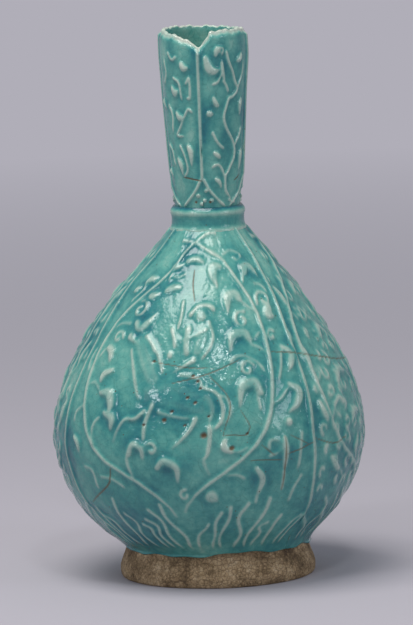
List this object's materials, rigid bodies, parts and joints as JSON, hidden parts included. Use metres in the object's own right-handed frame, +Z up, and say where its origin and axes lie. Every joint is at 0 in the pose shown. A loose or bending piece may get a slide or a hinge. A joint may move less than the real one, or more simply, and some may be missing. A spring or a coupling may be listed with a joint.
{
  "type": "bottle",
  "caption": "Glazed moulded ceramic bottle with a pear-shaped relief body, a tall flaring neck and an unglazed foot ring.",
  "frame": {"origin": "on the belly's axis at the table, under the middle of the bottle", "axes": "+Z up along the bottle's height, -Y towards the front panel, +X to the right of the front panel"},
  "size_m": [0.1905, 0.1916, 0.3309],
  "materials": {
    "turquoise_glaze": "gloss",
    "buff_stonepaste": "matte"
  },
  "bodies": {
    "root": {"foot_ring": "buff_stonepaste", "body_floor": "buff_stonepaste", "body_panel_front": "turquoise_glaze", "body_panel_right": "turquoise_glaze", "body_panel_back": "turquoise_glaze", "body_panel_left": "turquoise_glaze", "body_rib_front_left": "turquoise_glaze", "body_rib_front_right": "turquoise_glaze", "body_rib_back_right": "turquoise_glaze", "body_rib_back_left": "turquoise_glaze", "collar_ring": "turquoise_glaze", "neck_panel_front_right": "turquoise_glaze", "neck_panel_back_right": "turquoise_glaze", "neck_panel_back_left": "turquoise_glaze", "neck_panel_front_left": "turquoise_glaze", "neck_rib_front": "turquoise_glaze", "neck_rib_right": "turquoise_glaze", "neck_rib_back": "turquoise_glaze", "neck_rib_left": "turquoise_glaze"}
  },
  "joints": []
}
